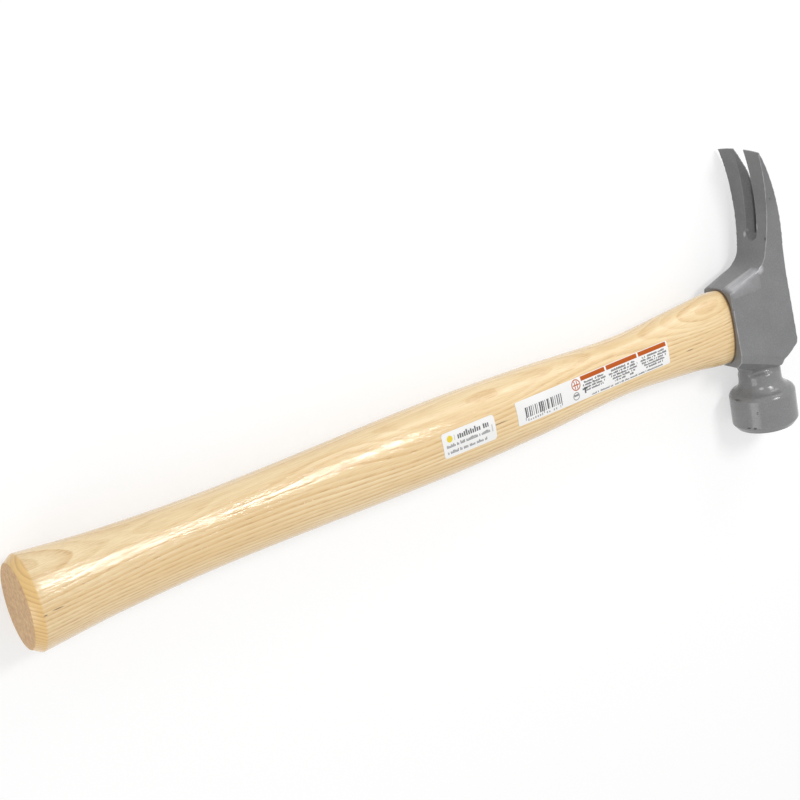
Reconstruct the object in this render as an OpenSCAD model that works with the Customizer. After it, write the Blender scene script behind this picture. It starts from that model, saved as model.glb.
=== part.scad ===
// Claw hammer lying on its side: a forged head on an oval wooden handle, held by wedges.
// Lengths are in millimetres. X runs from the butt to the top of the head, Y points to the
// claw tips and Z is up, square to the cheeks. The origin is under the middle of the hammer.

/* [Overall] */
// Length from the butt to the top of the head
overall_length = 457; // [380:1:550]
// Claw tips to handle axis
claw_reach = 90; // [75:0.5:108]

/* [Handle] */
// Height of the butt, measured along the blow
butt_height = 47.6; // [40:0.1:57]
// Width of the butt
butt_width = 36.4; // [30:0.1:43]
// Length of the chamfer round the butt
butt_chamfer_length = 4.6; // [2:0.1:8]
// Depth of the chamfer round the butt
butt_chamfer_depth = 3; // [1:0.1:5]
// Distance from the butt to where its flare ends
flare_length = 45; // [35:1:54]
// Height where the flare ends
flare_height = 40.2; // [34:0.1:48]
// Width where the flare ends
flare_width = 31.4; // [26:0.1:38]
// Distance from the butt to the thinnest part of the grip
grip_distance = 105; // [85:1:126]
// Height of the grip
grip_height = 36.2; // [30:0.1:43]
// Width of the grip
grip_width = 28.2; // [23:0.1:34]
// Height of the belly, halfway between grip and neck
belly_height = 39.5; // [33:0.1:47]
// Width of the belly
belly_width = 30.6; // [25:0.1:37]
// Height halfway between belly and neck
fore_height = 36.9; // [31:0.1:44]
// Width halfway between belly and neck
fore_width = 28.6; // [24:0.1:34]
// Distance from the neck to the rim of the head
neck_distance = 71; // [58:1:85]
// Height of the neck, the thinnest part
neck_height = 31.4; // [26:0.1:37]
// Width of the neck
neck_width = 24.4; // [20:0.1:29]
// Distance from the throat, where the wood flares to meet the head, to the rim
throat_distance = 27; // [22:1:32]
// Height of the throat
throat_height = 37.2; // [31:0.1:42]
// Width of the throat
throat_width = 21.8; // [18:0.1:26]

/* [Eye] */
// Height of the wood where it enters the head
mouth_height = 41.2; // [36:0.1:42.4]
// Width of the wood where it enters the head
mouth_width = 19.6; // [16:0.1:21]
// How far the middle of the eye lies below the handle axis at the rim
mouth_drop = 1.2; // [0:0.1:1.8]
// Depth of the waist of the eye below the rim
waist_depth = 20; // [16:0.5:24]
// Height of the wood at the waist
waist_height = 29; // [24:0.1:34]
// Width of the wood at the waist
waist_width = 17; // [14:0.1:19]
// Height of the wood at the top of the head
crown_height = 31; // [26:0.1:36]
// Width of the wood at the top of the head
crown_width = 18.4; // [15:0.1:20]
// How far the end of the wood lies below the top of the head
crown_inset = 0.6; // [0.2:0.1:2]
// Gap between the wood and the eye
eye_clearance = 0.15; // [0.05:0.01:0.3]

/* [Head] */
// Depth of the head from its rim to its top
body_depth = 40.4; // [33.5:0.1:48.5]
// Top of the socket above the handle axis
socket_top = 20.8; // [20.6:0.1:25]
// Bottom of the socket below the handle axis
socket_bottom = 23.6; // [23.2:0.1:28]
// Rise of the shoulder from the rim to the claws, in degrees
shoulder_slope = 14; // [8:1:18]
// How much the shoulder is crowned across, at the rim
shoulder_crown = 1.7; // [0.6:0.1:2.4]
// Fillet between shoulder and claws
claw_root_fillet = 10; // [5:0.5:14]
// Width across the cheeks at the bottom of the body
body_width = 27.6; // [25.4:0.1:33]
// Width across the cheeks where the claws begin
root_width = 22.2; // [21:0.1:26]
// Height of that narrowest place above the handle axis
root_height = 26; // [22:0.5:30]
// Length of the slope cut off the body between its top and the neck
corner_cut = 10; // [8:0.5:12]

/* [Claws] */
// Width across the two claw tips
claw_tip_width = 31.8; // [27:0.1:38]
// Radius of the hollow side of the claws
claw_front_radius = 120; // [100:1:144]
// Height of the foremost place of that arc
claw_front_height = 62; // [52:1:74]
// Depth of the claws at that height
claw_depth = 9.7; // [8:0.1:11.6]
// Thickness of the claws at their tips
claw_tip_thickness = 0.9; // [0.5:0.1:2]
// Height where the back of the claws begins to curve
claw_back_height = 37; // [30:1:40]
// Width of the nail slot on the hollow side
slot_width = 8.6; // [7:0.1:10]
// Width of the nail slot on the back
slot_back_width = 2.2; // [1.6:0.1:2.6]
// Height of the bottom of the nail slot
slot_bottom = 43; // [38:0.5:52]
// Slope of the slot's walls, in degrees
slot_angle = 40; // [34:1:46]

/* [Poll] */
// Distance from the bottom of the socket to the bell's band
poll_neck_length = 21.3; // [17.5:0.1:25.6]
// Diameter of the bell
bell_diameter = 36.4; // [32:0.1:43]
// Length of the bell's straight band
bell_band = 16.6; // [13:0.1:20]
// Diameter of the neck of the poll
poll_neck_diameter = 23.6; // [20:0.1:28]
// Width of the chamfer round the striking face
face_chamfer_width = 2.4; // [1:0.1:3]
// Height of the chamfer round the striking face
face_chamfer_height = 3; // [1:0.1:4]
// Distance from the poll's axis to the top of the head
poll_axis_inset = 18.6; // [18.2:0.1:21.5]

/* [Wedges] */
// Length of the wooden wedge
wood_wedge_length = 28; // [22:0.5:34]
// Thickness of the wooden wedge at the top
wood_wedge_thick = 4; // [3:0.1:4.8]
// Thickness of the wooden wedge at its tip
wood_wedge_tip = 1; // [0.6:0.1:1.4]
// Length of a steel wedge
steel_wedge_length = 20; // [16:0.5:24]
// Width of a steel wedge
steel_wedge_width = 13; // [10:0.1:14]
// Thickness of a steel wedge at the top
steel_wedge_thick = 2.6; // [2:0.1:3.2]
// Thickness of a steel wedge at its tip
steel_wedge_tip = 0.6; // [0.4:0.1:1]
// Distance of each steel wedge from the middle of the eye
steel_wedge_offset = 7; // [5:0.1:8.4]
// Gap round a wedge
wedge_clearance = 0.04; // [0.02:0.01:0.1]

/* [Labels] */
// Length of the long label
long_label_length = 102; // [80:0.5:120]
// Height of the long label
long_label_height = 12.4; // [9:0.1:14]
// Distance from the long label to the rim
long_label_distance = 47; // [40:0.5:57]
// Height of the middle of the long label above the handle axis
long_label_rise = 1.6; // [0:0.1:3]
// Length of the small label
small_label_length = 32; // [26:0.5:38]
// Height of the small label
small_label_height = 12.8; // [10:0.1:15]
// Gap between the two labels
label_spacing = 14; // [6:0.5:18]
// Height of the middle of the small label above the handle axis
small_label_rise = 0.6; // [0:0.1:2]
// Radius of a label's corners
label_corner = 1.2; // [0.5:0.1:2]
// Thickness of a label
label_thick = 0.15; // [0.1:0.01:0.3]
// Gap between a label and the wood
label_gap = 0.06; // [0.03:0.01:0.1]

/* [Hidden] */
$fn = 96;
FAR = 100;

rim_x = overall_length - body_depth;
poll_x = overall_length - poll_axis_inset;
bell_radius = bell_diameter / 2;
poll_neck_radius = poll_neck_diameter / 2;
band_top = socket_bottom + poll_neck_length;
poll_reach = band_top + bell_band + face_chamfer_height;
rest_height = max(bell_diameter, butt_width) / 2;

// The hollow side of the claws is an arc, which the shoulder meets claw_foot ahead of it
claw_foot = 5;
claw_front = [overall_length - claw_depth - claw_front_radius, claw_front_height];
shoulder_run = body_depth - claw_depth - claw_foot;
shoulder_end = socket_top + shoulder_run * tan(shoulder_slope);
function front_angle(y) = asin((y - claw_front_height) / claw_front_radius);

// Below the socket the body falls to a toe at the rim's side and a heel at the top's side
toe_length = 9;
toe_fall = 4.5;
heel_run = 1.6;
heel_fall = 7;

// The back of the claws is an arc too, whose radius leaves the tips their thickness
tip_inset = claw_depth + claw_front_radius * (1 - cos(front_angle(claw_reach)))
    - claw_tip_thickness;
claw_back_radius = (tip_inset ^ 2 + (claw_reach - claw_back_height) ^ 2) / 2 / tip_inset;

// The handle, section by section: place along X, half height, half width and squareness
// of the oval. A squareness of 2 is an ellipse, and more is squarer.
grip_to_neck = rim_x - neck_distance - grip_distance;
sections = [
    [butt_chamfer_length, butt_height / 2, butt_width / 2, 2.0],
    [flare_length, flare_height / 2, flare_width / 2, 2.1],
    [grip_distance, grip_height / 2, grip_width / 2, 2.2],
    [grip_distance + grip_to_neck / 2, belly_height / 2, belly_width / 2, 2.2],
    [grip_distance + grip_to_neck * 3 / 4, fore_height / 2, fore_width / 2, 2.2],
    [rim_x - neck_distance, neck_height / 2, neck_width / 2, 2.2],
    [rim_x - throat_distance, throat_height / 2, throat_width / 2, 2.3],
    [rim_x, mouth_height / 2, mouth_width / 2, 2.4]
];
// The wood inside the eye, with a fifth value for how far its middle lies above the axis
tongue_sections = [
    [rim_x, mouth_height / 2, mouth_width / 2, 2.4, -mouth_drop],
    [rim_x + waist_depth / 2, (mouth_height + waist_height * 3) / 8,
        (mouth_width + waist_width * 3) / 8, 2.4, -mouth_drop / 3],
    [rim_x + waist_depth, waist_height / 2, waist_width / 2, 2.4, 0],
    [overall_length, crown_height / 2, crown_width / 2, 2.4, 0]
];
oval_sides = 40;
ring_spacing = 9;
rings = ceil((rim_x - butt_chamfer_length) / ring_spacing);
ring_step = (rim_x - butt_chamfer_length) / rings;
eye_steps = 8;

// A smooth curve through column c of a table of sections, at place x
function slope(t, i, c) = let (a = max(i - 1, 0), b = min(i + 1, len(t) - 1))
    (t[b][c] - t[a][c]) / (t[b][0] - t[a][0]);
function span(t, x, i = 0) = i >= len(t) - 2 || x < t[i + 1][0] ? i : span(t, x, i + 1);
function smooth(t, x, c) = let (
        i = span(t, x),
        d = t[i + 1][0] - t[i][0],
        s = (x - t[i][0]) / d)
    t[i][c] * (2 * s ^ 3 - 3 * s ^ 2 + 1) + slope(t, i, c) * d * (s ^ 3 - 2 * s ^ 2 + s)
        + t[i + 1][c] * (3 * s ^ 2 - 2 * s ^ 3) + slope(t, i + 1, c) * d * (s ^ 3 - s ^ 2);

// One oval ring in a plane square to X
function signed_power(v, e) = sign(v) * abs(v) ^ e;
function oval(x, half_height, half_width, squareness, rise = 0) = [
    for (i = [0:oval_sides - 1])
        let (a = 360 * i / oval_sides)
        [x, rise + half_height * signed_power(sin(a), 2 / squareness),
            half_width * signed_power(cos(a), 2 / squareness)]
];

// The drop of the middle of the wood along the last part of the handle
function throat_share(x) = max(0, (x - rim_x + throat_distance) / throat_distance);
function handle_rise(x) = -mouth_drop * throat_share(x) ^ 2;

// Ring i of the handle outside the head, and a ring at place x inside it, both with a gap
function handle_ring(i, gap) = let (x = butt_chamfer_length + ring_step * i)
    oval(x, smooth(sections, x, 1) + gap, smooth(sections, x, 2) + gap,
        smooth(sections, x, 3), handle_rise(x));
function tongue_ring(x, gap) = oval(x, smooth(tongue_sections, x, 1) + gap,
    smooth(tongue_sections, x, 2) + gap, smooth(tongue_sections, x, 3),
    smooth(tongue_sections, x, 4));

// Points on a circular arc
function arc(centre, radius, from, to, steps) = [
    for (i = [0:steps])
        let (a = from + (to - from) * i / steps)
        centre + radius * [cos(a), sin(a)]
];

// Puts the middle of the hammer's underside at the origin
module place() {
    translate([-overall_length / 2, (poll_reach - claw_reach) / 2, rest_height])
        children();
}

// A closed skin over a row of rings that all have the same number of points
module skin_over(rings) {
    n = len(rings[0]);
    last = len(rings) - 1;
    polyhedron(
        points = [for (r = rings) each r],
        faces = [
            [for (i = [n - 1:-1:0]) i],
            [for (i = [0:n - 1]) last * n + i],
            for (k = [0:last - 1]) for (i = [0:n - 1])
                [k * n + (i + 1) % n, (k + 1) * n + (i + 1) % n, (k + 1) * n + i, k * n + i]
        ]);
}

// The eye through the head: the wood's shape and a gap, running out past both faces
module eye() {
    overrun = 1;
    inner = [for (i = [1:eye_steps - 1]) rim_x + body_depth * i / eye_steps];
    skin_over([
        for (x = [rim_x - overrun, each inner, overall_length + overrun])
            tongue_ring(x, eye_clearance)
    ]);
}

// Side view of a wedge or its kerf, tapering to the tip and running out past the top by over
module wedge_profile(length, top, tip, over) {
    x_top = overall_length - crown_inset;
    polygon([
        [x_top - length, -tip / 2], [x_top, -top / 2], [x_top + over, -top / 2],
        [x_top + over, top / 2], [x_top, top / 2], [x_top - length, tip / 2]
    ]);
}

// Wedge or kerf along the long side of the eye
module long_wedge(length, top, tip, height, over) {
    translate([0, height / 2, 0])
        rotate([90, 0, 0])
            linear_extrude(height)
                wedge_profile(length, top, tip, over);
}

// Wedge or kerf across the eye
module cross_wedge(length, top, tip, width, over) {
    translate([0, 0, -width / 2])
        linear_extrude(width)
            wedge_profile(length, top, tip, over);
}

module steel_wedge_kerfs() {
    for (side = [-1, 1])
        translate([0, side * steel_wedge_offset, 0])
            cross_wedge(steel_wedge_length + wedge_clearance,
                steel_wedge_thick + 2 * wedge_clearance, steel_wedge_tip + 2 * wedge_clearance,
                steel_wedge_width + 2 * wedge_clearance, body_depth);
}

// Side view of the body and claws, without the poll
module side_outline() {
    back = [overall_length - claw_back_radius, claw_back_height];
    back_end = asin((claw_reach - claw_back_height) / claw_back_radius);
    difference() {
        offset(r = -claw_root_fillet)
            offset(delta = claw_root_fillet)
                polygon(concat(
                    [[rim_x, -socket_bottom], [rim_x, socket_top]],
                    arc(claw_front, claw_front_radius, front_angle(shoulder_end),
                        front_angle(claw_reach), 20),
                    arc(back, claw_back_radius, back_end, 0, 20),
                    [[overall_length, -socket_bottom - heel_fall],
                        [overall_length - corner_cut - heel_run, -socket_bottom - heel_fall],
                        [rim_x + toe_length, -socket_bottom - toe_fall]]));
        cut_corner();
    }
}

// What is cut off the body between its top and the neck: a long slope and a short heel
module cut_corner() {
    slope_start = 2.4;
    slope_fall = corner_cut * tan(32);
    slope_end = [overall_length - corner_cut, -socket_bottom + slope_start - slope_fall];
    polygon([
        [overall_length, -socket_bottom + slope_start], slope_end,
        [overall_length - corner_cut - heel_run, -socket_bottom - heel_fall],
        [slope_end[0], -FAR], [overall_length + FAR, -FAR],
        [overall_length + FAR, -socket_bottom + slope_start]
    ]);
}

// What the crown takes off the shoulder. It is deepest at the rim and fades out where the
// fillet at the foot of the claws begins.
module shoulder_cut() {
    turn = 90 + front_angle(shoulder_end) - shoulder_slope;
    run = shoulder_run / cos(shoulder_slope) - claw_root_fillet * tan(turn / 2);
    radius = (root_width / 2) ^ 2 / 2 / shoulder_crown;
    fade = atan(shoulder_crown / run);
    translate([rim_x, socket_top, 0])
        rotate([0, 0, shoulder_slope + fade])
            difference() {
                translate([run - body_depth, -2 * shoulder_crown, -body_width])
                    cube([body_depth, body_depth, 2 * body_width]);
                translate([-FAR / 2, -radius, 0])
                    rotate([0, 90, 0])
                        cylinder(h = FAR, r = radius, $fn = 180);
            }
}

// Front view of the body and claws: how wide the head is at each height
module width_outline() {
    root_ease = 0.2;
    root_half_length = 8;
    right = [
        [-poll_reach, body_width / 2], [-socket_bottom, body_width / 2],
        [root_height - root_half_length, root_width / 2 + root_ease],
        [root_height, root_width / 2],
        [root_height + root_half_length, root_width / 2 + root_ease],
        [claw_reach, claw_tip_width / 2]
    ];
    polygon(concat(right, [for (i = [len(right) - 1:-1:0]) [right[i][0], -right[i][1]]]));
}

// A flat cut along the lower edge of each cheek. On the rim its edge starts this far above
// the bottom of the socket and this far in from the side. It falls towards the top of the
// head, and leans inwards by the angle.
module cheek_bevel(above, inset, lean) {
    bevel_fall = 20;
    for (side = [0, 1])
        mirror([0, 0, side])
            translate([rim_x, above - socket_bottom, body_width / 2 - inset])
                rotate([0, 0, -bevel_fall])
                    rotate([lean, 0, 0])
                        translate([-FAR, -FAR, 0])
                            cube([3 * FAR, FAR, FAR]);
}

// Both bevels of the cheeks, which stop above the bell
module cheek_bevels() {
    intersection() {
        union() {
            cheek_bevel(8.6, 0.3, 14);
            cheek_bevel(3.4, 1.6, 48);
        }
        translate([rim_x - FAR, -socket_bottom - heel_fall - 2, -FAR])
            cube([2 * FAR, FAR, 2 * FAR]);
    }
}

// The round poll: a waisted neck, a flared shoulder, the bell's band and the chamfered
// face. The fillet of the flare is never wider than the bell leaves room for.
module poll() {
    waist_radius = 30;
    waist_turn = 20;
    waist_fall = 9.4;
    flare = 7.5;
    flare_turn = 75;
    crest = [0.9, 0.9];
    soft_edge = 0.6;
    room = bell_radius - crest[0] - poll_neck_radius;
    flare_fillet = min(6, room / (1 - cos(flare_turn)));
    waist_centre = [poll_neck_radius + waist_radius, socket_bottom + waist_fall];
    flare_centre = [poll_neck_radius + flare_fillet, band_top - flare];
    translate([poll_x, 0, 0])
        rotate([90, 0, 0])
            rotate_extrude()
                polygon(concat(
                    [[0, waist_centre[1] - waist_radius * sin(waist_turn)]],
                    arc(waist_centre, waist_radius, 180 + waist_turn, 180, 6),
                    arc(flare_centre, flare_fillet, 180, 180 - flare_turn, 10),
                    [[bell_radius - crest[0], band_top - crest[1]],
                        [bell_radius, band_top + soft_edge],
                        [bell_radius, poll_reach - face_chamfer_height],
                        [bell_radius - face_chamfer_width, poll_reach], [0, poll_reach]]));
}

// The nail slot: a V-shaped groove that follows the hollow side of the claws, with a
// cone at its bottom, and a narrow slot right through
module nail_slot() {
    groove_depth = (slot_width - slot_back_width) / 2 / tan(slot_angle);
    lip = 1;
    lip_width = slot_width + 2 * lip * tan(slot_angle);
    start = front_angle(slot_bottom);
    end = front_angle(claw_reach) + 5;
    narrow = slot_back_width / 2;
    translate(claw_front)
        rotate([0, 0, start])
            rotate_extrude(angle = end - start, $fn = 360)
                polygon([
                    [claw_front_radius - lip, -lip_width / 2],
                    [claw_front_radius + groove_depth, -narrow],
                    [claw_front_radius + groove_depth, narrow],
                    [claw_front_radius - lip, lip_width / 2]
                ]);
    translate(claw_front)
        rotate([0, 0, start])
            translate([claw_front_radius - lip, 0, 0])
                rotate([0, 90, 0])
                    cylinder(h = groove_depth + lip, r1 = lip_width / 2, r2 = narrow);
    translate([rim_x, slot_bottom, -narrow])
        cube([2 * body_depth, claw_reach, slot_back_width]);
    translate([rim_x, slot_bottom, 0])
        rotate([0, 90, 0])
            cylinder(h = 2 * body_depth, r = narrow);
}

module hammer_head() {
    color("#7e8083")
        place()
            difference() {
                union() {
                    intersection() {
                        translate([0, 0, -FAR])
                            linear_extrude(2 * FAR)
                                side_outline();
                        rotate([90, 0, 90])
                            linear_extrude(2 * overall_length)
                                width_outline();
                    }
                    poll();
                }
                cheek_bevels();
                shoulder_cut();
                nail_slot();
                eye();
            }
}

module handle() {
    butt = sections[0];
    color("#ead2a2")
        place()
            difference() {
                skin_over([
                    oval(0, butt[1] - butt_chamfer_depth, butt[2] - butt_chamfer_depth,
                        butt[3]),
                    for (i = [0:rings]) handle_ring(i, 0),
                    for (i = [1:eye_steps - 1])
                        tongue_ring(rim_x + body_depth * i / eye_steps, 0),
                    tongue_ring(overall_length - crown_inset, 0)
                ]);
                long_wedge(wood_wedge_length + wedge_clearance,
                    wood_wedge_thick + 2 * wedge_clearance,
                    wood_wedge_tip + 2 * wedge_clearance, 2 * mouth_height, body_depth);
                steel_wedge_kerfs();
            }
}

module wood_wedge() {
    color("#d9b57c")
        place()
            difference() {
                long_wedge(wood_wedge_length, wood_wedge_thick, wood_wedge_tip,
                    waist_height, 0);
                steel_wedge_kerfs();
            }
}

module steel_wedge(side) {
    color("#9a9da1")
        place()
            translate([0, side * steel_wedge_offset, 0])
                cross_wedge(steel_wedge_length, steel_wedge_thick, steel_wedge_tip,
                    steel_wedge_width, 0);
}

module steel_wedge_upper() {
    steel_wedge(1);
}

module steel_wedge_lower() {
    steel_wedge(-1);
}

// The stretch of the handle that lies under a label, grown by a gap
module grown_handle(from, to, gap) {
    first = floor((from - butt_chamfer_length) / ring_step);
    last = ceil((to - butt_chamfer_length) / ring_step);
    skin_over([for (i = [first:last]) handle_ring(i, gap)]);
}

// A label's outline, a rectangle with round corners
module label_outline(length, height) {
    translate([0, label_corner])
        square([length, height - 2 * label_corner]);
    translate([label_corner, 0])
        square([length - 2 * label_corner, height]);
    for (x = [label_corner, length - label_corner], y = [label_corner, height - label_corner])
        translate([x, y])
            circle(r = label_corner);
}

// A thin skin on the upper side of the handle, from x to x + length, about height y
module label(x, length, y, height) {
    color("#f4f4f2")
        place()
            difference() {
                intersection() {
                    translate([x, y - height / 2, 0])
                        linear_extrude(butt_width)
                            label_outline(length, height);
                    grown_handle(x, x + length, label_gap + label_thick);
                }
                grown_handle(x, x + length, label_gap);
            }
}

module long_label() {
    label(rim_x - long_label_distance - long_label_length, long_label_length,
        long_label_rise, long_label_height);
}

module small_label() {
    label(rim_x - long_label_distance - long_label_length - label_spacing
        - small_label_length, small_label_length, small_label_rise, small_label_height);
}

hammer_head();
handle();
wood_wedge();
steel_wedge_upper();
steel_wedge_lower();
long_label();
small_label();
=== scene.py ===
"""A straight-claw hammer lying on its side: a forged, enamelled head wedged on a lacquered
handle of pale ringed wood, with two printed labels.

Everything is in metres. X runs from the butt to the top of the head, Y points to the claw
tips and Z is up. Lengths written in millimetres are multiplied by MM.
"""

import math

import bmesh
import bpy
from mathutils import Matrix, Vector


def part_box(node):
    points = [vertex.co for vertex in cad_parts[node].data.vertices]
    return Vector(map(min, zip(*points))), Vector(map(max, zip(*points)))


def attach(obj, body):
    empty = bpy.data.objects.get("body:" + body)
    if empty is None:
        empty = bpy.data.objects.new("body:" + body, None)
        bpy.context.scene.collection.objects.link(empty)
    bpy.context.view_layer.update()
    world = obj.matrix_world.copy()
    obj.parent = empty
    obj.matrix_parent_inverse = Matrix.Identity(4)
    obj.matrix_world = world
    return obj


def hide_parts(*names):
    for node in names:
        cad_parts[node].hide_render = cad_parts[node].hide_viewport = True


MM = 0.001

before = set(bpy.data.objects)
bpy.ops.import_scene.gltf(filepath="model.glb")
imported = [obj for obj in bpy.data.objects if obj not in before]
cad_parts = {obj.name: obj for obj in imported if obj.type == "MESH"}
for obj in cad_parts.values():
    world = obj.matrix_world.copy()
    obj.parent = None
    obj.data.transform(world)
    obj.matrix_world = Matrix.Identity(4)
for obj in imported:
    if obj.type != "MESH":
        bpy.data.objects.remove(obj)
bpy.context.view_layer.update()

# Where the handle and the head lie, from the frame
HANDLE_LOW, HANDLE_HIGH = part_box("handle")
HEAD_LOW, HEAD_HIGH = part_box("hammer_head")
BUTT = HANDLE_LOW.x
TOP = HANDLE_HIGH.x
RIM = HEAD_LOW.x
HEAD_MIDDLE = (HEAD_LOW.z + HEAD_HIGH.z) / 2
AXIS_Y = (HANDLE_LOW.y + HANDLE_HIGH.y) / 2
AXIS_Z = (HANDLE_LOW.z + HANDLE_HIGH.z) / 2


# ---------------------------------------------------------------- working by hand

def only(piece):
    """Makes one piece the selected and active one."""
    bpy.ops.object.select_all(action="DESELECT")
    piece.select_set(True)
    bpy.context.view_layer.objects.active = piece


def edit(piece):
    """Opens one piece's mesh for editing."""
    only(piece)
    bpy.ops.object.mode_set(mode="EDIT")


def done():
    """Ends the editing of a mesh."""
    bpy.ops.object.mode_set(mode="OBJECT")


def settle(piece):
    """Puts a piece's place, turn and scale into its mesh."""
    only(piece)
    bpy.ops.object.transform_apply(location=True, rotation=True, scale=True)


def modifier(piece, kind, **settings):
    """Adds one modifier and applies it."""
    only(piece)
    bpy.ops.object.modifier_add(type=kind)
    added = piece.modifiers[-1]
    for name, value in settings.items():
        setattr(added, name, value)
    bpy.ops.object.modifier_apply(modifier=added.name)


def combine(piece, tool, operation):
    """Cuts a tool's shape from a piece, or joins it on, and throws the tool away."""
    modifier(piece, "BOOLEAN", operation=operation, solver="EXACT", object=tool)
    bpy.data.objects.remove(tool)


def named(name):
    """Names the piece that was made last."""
    piece = bpy.context.object
    piece.name = name
    piece.data.name = name
    return piece


# ---------------------------------------------------------------- material tools

class Paint:
    """A material whose nodes are added one call at a time. Its colour is built up in
    tints, each laid over the last."""

    def __init__(self, name):
        self.material = bpy.data.materials.new(name)
        self.material.use_nodes = True
        self.nodes = self.material.node_tree.nodes
        self.links = self.material.node_tree.links
        self.shader = self.nodes["Principled BSDF"]
        self.colour = None

    def put(self, value, socket):
        """Sets a socket to a number, a colour or another node's output."""
        if isinstance(value, bpy.types.NodeSocket):
            self.links.new(value, socket)
        elif value is not None:
            socket.default_value = value

    # Sums

    def math(self, operation, a, b=None, c=None, clamp=False):
        """One sum of up to three values."""
        node = self.nodes.new("ShaderNodeMath")
        node.operation = operation
        node.use_clamp = clamp
        for value, socket in zip((a, b, c), node.inputs):
            self.put(value, socket)
        return node.outputs[0]

    def times(self, a, b):
        return self.math("MULTIPLY", a, b)

    def plus_times(self, base, value, share):
        """A base with a share of another value added."""
        return self.math("MULTIPLY_ADD", value, share, base)

    def length(self, a, b):
        """How long a step is that goes a along one axis and b along another."""
        return self.math("SQRT", self.math("ADD", self.times(a, a), self.times(b, b)))

    # Places

    def place(self, scale, shift=(0, 0, 0), turn=(0, 0, 0), uv=False):
        """Object or UV coordinates, shifted, turned and scaled in that order."""
        where = self.nodes.new("ShaderNodeTexCoord").outputs["UV" if uv else "Object"]
        move = self.nodes.new("ShaderNodeVectorMath")
        move.operation = "ADD"
        self.put(where, move.inputs[0])
        move.inputs[1].default_value = shift
        spin = self.nodes.new("ShaderNodeVectorRotate")
        spin.rotation_type = "EULER_XYZ"
        self.put(move.outputs[0], spin.inputs["Vector"])
        spin.inputs["Rotation"].default_value = turn
        stretch = self.nodes.new("ShaderNodeVectorMath")
        stretch.operation = "MULTIPLY"
        self.put(spin.outputs[0], stretch.inputs[0])
        stretch.inputs[1].default_value = scale
        return stretch.outputs[0]

    def split(self, vector):
        """A vector's three parts."""
        node = self.nodes.new("ShaderNodeSeparateXYZ")
        self.put(vector, node.inputs[0])
        return node.outputs

    def millimetres(self, shift, turn=(0, 0, 0)):
        """The three parts of the place in millimetres, after a shift in metres."""
        return self.split(self.place((1 / MM,) * 3, shift, turn))

    def reach(self, middle, half):
        """Distance from a middle, as a share of an ellipsoid's half lengths in millimetres."""
        shift = tuple(-c * MM for c in middle)
        scale = tuple(1 / (h * MM) for h in half)
        length = self.nodes.new("ShaderNodeVectorMath")
        length.operation = "LENGTH"
        self.put(self.place(scale, shift), length.inputs[0])
        return length.outputs["Value"]

    # Masks

    def after(self, value, low, soft):
        """1 where value is above low, with a soft edge."""
        rise = self.math("SUBTRACT", value, low - soft / 2)
        return self.math("DIVIDE", rise, soft, clamp=True)

    def before(self, value, high, soft):
        """1 where value is below high, with a soft edge."""
        fall = self.math("SUBTRACT", high + soft / 2, value)
        return self.math("DIVIDE", fall, soft, clamp=True)

    def between(self, value, low, high, soft):
        """1 where value lies from low to high, with soft edges."""
        return self.times(self.after(value, low, soft), self.before(value, high, soft))

    def ramp(self, value, *stops):
        """Maps a value through (place, grey) stops."""
        node = self.nodes.new("ShaderNodeValToRGB")
        self.put(value, node.inputs[0])
        line = node.color_ramp.elements
        line[0].position = stops[0][0]
        line[1].position = stops[-1][0]
        for place, _ in stops[1:-1]:
            line.new(place)
        for element, (_, grey) in zip(line, stops):
            element.color = (grey, grey, grey, 1)
        return node.outputs[0]

    def noise_at(self, vector, detail=2.0, roughness=0.5):
        """Noise with one cell to each unit of a vector."""
        node = self.nodes.new("ShaderNodeTexNoise")
        self.put(vector, node.inputs["Vector"])
        node.inputs["Scale"].default_value = 1.0
        node.inputs["Detail"].default_value = detail
        node.inputs["Roughness"].default_value = roughness
        return node.outputs["Fac"]

    def noise(self, cells, detail=2.0, roughness=0.5, shift=(0, 0, 0)):
        """Noise with a number of cells to the metre: one for all axes, or one for each."""
        if not isinstance(cells, tuple):
            cells = (cells,) * 3
        return self.noise_at(self.place(cells, shift), detail, roughness)

    def attribute(self, name):
        """A number that the piece's mesh holds for each point."""
        node = self.nodes.new("ShaderNodeAttribute")
        node.attribute_name = name
        return node.outputs["Fac"]

    def flecks(self, spots, softness=0.5):
        """1 inside small ellipsoids, each given by its middle and its three half lengths
        in millimetres."""
        total = None
        for middle, half in spots:
            inside = self.math("SUBTRACT", 1, self.reach(middle, half))
            inside = self.math("DIVIDE", inside, softness, clamp=True)
            total = inside if total is None else self.math("MAXIMUM", total, inside)
        return total

    # Colour and finish

    def mix(self, share, a, b):
        """From colour a to colour b."""
        node = self.nodes.new("ShaderNodeMix")
        node.data_type = "RGBA"
        self.put(share, node.inputs["Factor"])
        for value, socket in ((a, node.inputs[6]), (b, node.inputs[7])):
            if isinstance(value, tuple):
                value = (*value, 1)
            self.put(value, socket)
        return node.outputs[2]

    def tint(self, mask, colour, strength=1.0):
        """Lays a colour over what is there, where the mask says."""
        if strength != 1.0:
            mask = self.times(mask, strength)
        self.colour = self.mix(mask, self.colour, colour)

    def bump(self, height, depth, strength):
        """A normal from a height whose unit is a depth in millimetres."""
        node = self.nodes.new("ShaderNodeBump")
        node.inputs["Strength"].default_value = strength
        node.inputs["Distance"].default_value = depth * MM
        self.put(height, node.inputs["Height"])
        return node.outputs[0]

    def finish(self, roughness, normal=None, **constants):
        """Joins the colour, roughness and normal to the shader and sets its constants."""
        self.put(self.colour, self.shader.inputs["Base Color"])
        self.put(roughness, self.shader.inputs["Roughness"])
        if normal is not None:
            self.put(normal, self.shader.inputs["Normal"])
        for name, value in constants.items():
            self.shader.inputs[name.replace("_", " ")].default_value = value
        return self.material


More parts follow.
